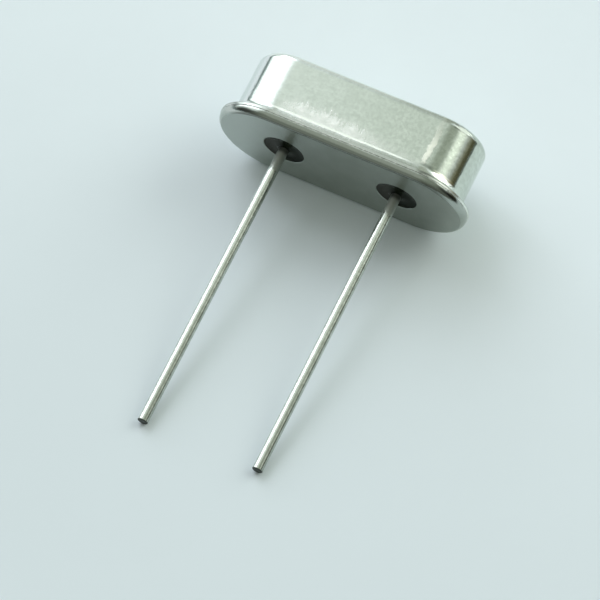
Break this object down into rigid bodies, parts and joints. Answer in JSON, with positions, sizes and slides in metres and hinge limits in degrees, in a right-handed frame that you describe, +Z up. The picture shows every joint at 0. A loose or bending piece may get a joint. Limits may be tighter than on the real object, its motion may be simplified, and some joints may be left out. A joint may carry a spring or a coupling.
{
  "type": "crystal oscillator",
  "caption": "Low-profile quartz crystal in a round-ended welded metal can with straight wire leads through glass beads in its base, lying on its broad side.",
  "frame": {"origin": "on the surface it lies on, under the middle of the part's box", "axes": "+Z up, +Y from the lead tips towards the can's top, +X along the can's long side. The can leans back on its flange, so the leads slope down to the surface along -Y"},
  "size_m": [0.0108, 0.016, 0.0046],
  "materials": {
    "can_metal": "satin",
    "base_metal": "satin",
    "bead_glass": "gloss",
    "lead_metal": "satin",
    "clip_metal": "satin",
    "quartz": "satin",
    "electrode_silver": "satin",
    "silver_adhesive": "matte"
  },
  "bodies": {
    "root": {"cover": "can_metal", "base": "base_metal", "bead_left": "bead_glass", "bead_right": "bead_glass", "lead_left": "lead_metal", "lead_right": "lead_metal", "clip_left": "clip_metal", "clip_right": "clip_metal", "quartz_blank": "quartz", "electrode_front": "electrode_silver", "electrode_rear": "electrode_silver", "adhesive_left": "silver_adhesive", "adhesive_right": "silver_adhesive"}
  },
  "joints": []
}
